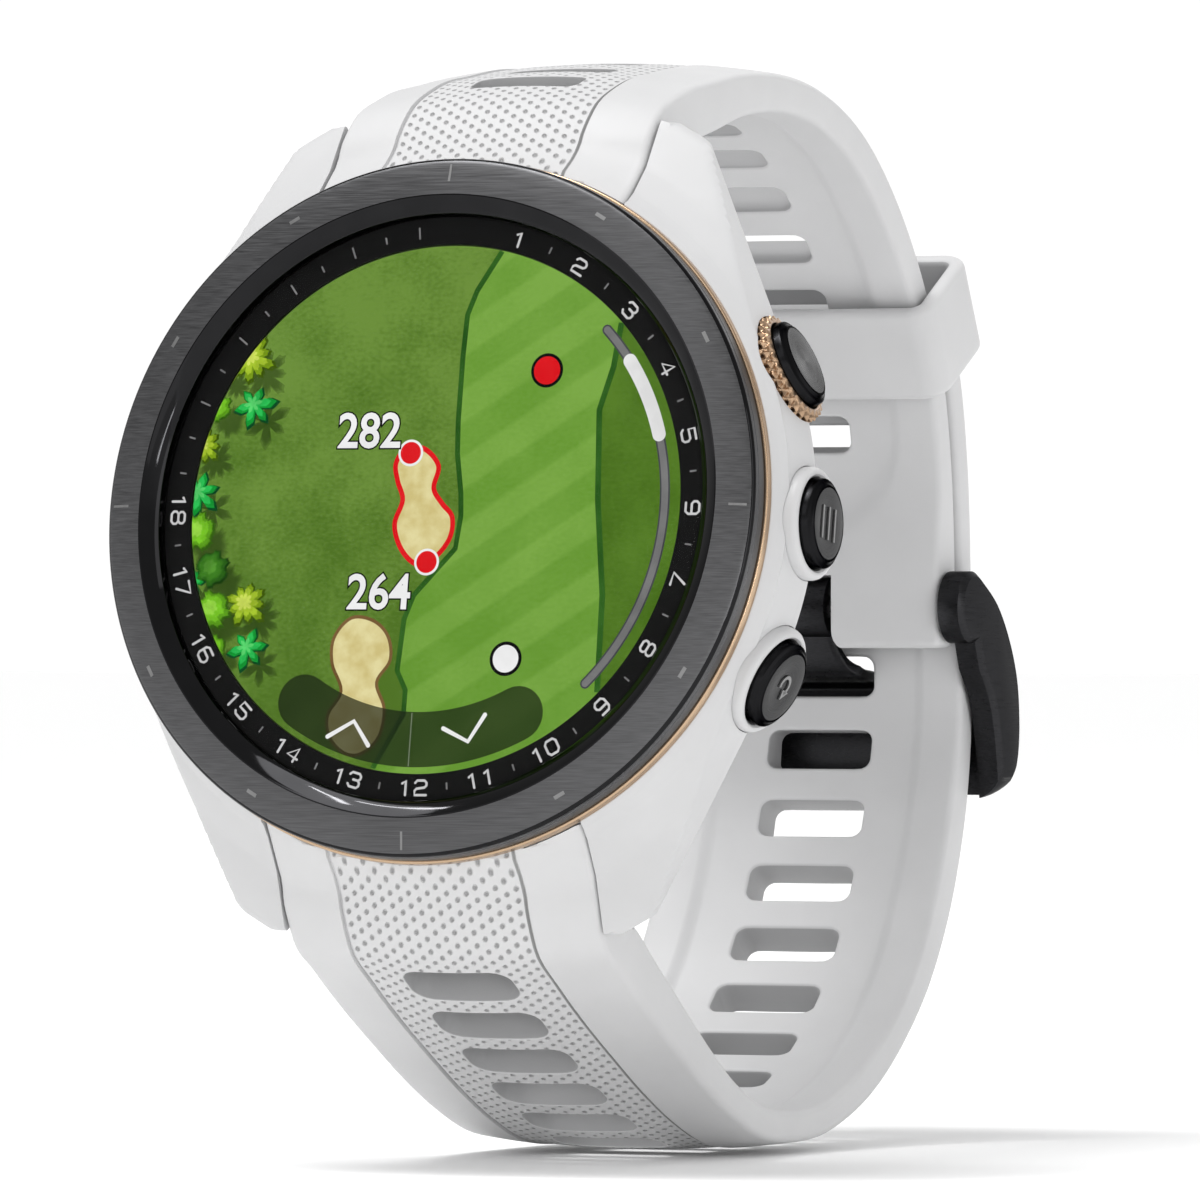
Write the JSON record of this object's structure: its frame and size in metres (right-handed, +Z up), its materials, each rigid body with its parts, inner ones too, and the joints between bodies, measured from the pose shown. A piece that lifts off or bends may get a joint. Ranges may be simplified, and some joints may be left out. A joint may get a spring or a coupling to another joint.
{
  "type": "golf GPS watch",
  "caption": "Round golf GPS watch with a graduated bezel, a lit course map, side buttons and a slotted white strap that is buckled into a loop round an empty wrist opening.",
  "frame": {"origin": "centre of the wrist opening, on the line across the strap", "axes": "+X towards 3 o'clock, along the wrist; the face looks towards -Y and leans back 9.9 degrees; +Z up, towards 12 o'clock"},
  "size_m": [0.0438, 0.0657, 0.0645],
  "materials": {
    "glass": "polished",
    "ink": "printed black with white figures",
    "display": "lit screen",
    "bezel_metal": "brushed, dark coated",
    "rose_gold": "polished plating",
    "white_polymer": "satin",
    "white_silicone": "matte",
    "grey_polymer": "matte",
    "seal_rubber": "matte",
    "circuit_board": "solder mask",
    "battery_foil": "foil pouch",
    "antenna_copper": "bare copper alloy",
    "steel": "turned",
    "contact_gold": "gold plated",
    "black_polymer": "matte",
    "black_glass": "polished",
    "black_metal": "satin black coating"
  },
  "bodies": {
    "watch": {"glass_lens": "glass", "hole_ring": "ink", "display_module": "display", "bezel": "bezel_metal", "bezel_gasket": "seal_rubber", "trim_ring": "rose_gold", "case_body": "white_polymer", "inner_chassis": "grey_polymer", "main_board": "circuit_board", "battery": "battery_foil", "gps_antenna": "antenna_copper", "vibration_motor": "steel", "sensor_module": "circuit_board", "back_gasket": "seal_rubber", "case_back": "grey_polymer", "back_screw_1": "steel", "back_screw_2": "steel", "back_screw_3": "steel", "back_screw_4": "steel", "sensor_window": "black_glass", "charge_port": "black_polymer", "charge_pin_1": "contact_gold", "charge_pin_2": "contact_gold", "charge_pin_3": "contact_gold", "charge_pin_4": "contact_gold", "action_collar": "rose_gold", "action_seal": "seal_rubber", "action_switch": "black_polymer", "menu_collar": "white_polymer", "menu_seal": "seal_rubber", "menu_switch": "black_polymer", "back_collar": "white_polymer", "back_seal": "seal_rubber", "back_switch": "black_polymer", "strap_upper": "white_silicone", "strap_lower": "white_silicone", "lug_bar_upper": "steel", "lug_bar_lower": "steel", "buckle_bar": "steel"},
    "action_cap": {"action_button": "black_metal"},
    "menu_cap": {"menu_button": "black_metal"},
    "back_cap": {"back_button": "black_metal"},
    "release_upper": {"release_pin_upper": "steel"},
    "release_lower": {"release_pin_lower": "steel"},
    "keeper": {"keeper_loop": "white_silicone"},
    "buckle": {"buckle_frame": "black_metal"},
    "tongue": {"buckle_tongue": "black_metal"}
  },
  "joints": [
    {"name": "action_press", "type": "slide", "parent": "watch", "child": "action_cap", "axis": [-0.9063, -0.0727, -0.4163], "range_m": [0, 0.0004], "stiffness_N_per_m": 500},
    {"name": "menu_press", "type": "slide", "parent": "watch", "child": "menu_cap", "axis": [-1, 0, 0], "range_m": [0, 0.0004], "stiffness_N_per_m": 500},
    {"name": "back_press", "type": "slide", "parent": "watch", "child": "back_cap", "axis": [-0.9063, 0.0727, 0.4163], "range_m": [0, 0.0004], "stiffness_N_per_m": 500},
    {"name": "release_upper_slide", "type": "slide", "parent": "watch", "child": "release_upper", "axis": [-1, 0, 0], "range_m": [0, 0.0014], "stiffness_N_per_m": 200},
    {"name": "release_lower_slide", "type": "slide", "parent": "watch", "child": "release_lower", "axis": [-1, 0, 0], "range_m": [0, 0.0014], "stiffness_N_per_m": 200},
    {"name": "keeper_travel", "type": "hinge", "parent": "watch", "child": "keeper", "pos_m": [0, -0.00219, 0.0046], "axis": [1, 0, 0], "range_deg": [-5, 5]},
    {"name": "buckle_swing", "type": "hinge", "parent": "watch", "child": "buckle", "pos_m": [0, 0.0227, 0.0001], "axis": [1, 0, 0], "range_deg": [0, 70]},
    {"name": "tongue_swing", "type": "hinge", "parent": "watch", "child": "tongue", "pos_m": [0, 0.0227, 0.0001], "axis": [1, 0, 0], "range_deg": [-4, 4]}
  ]
}
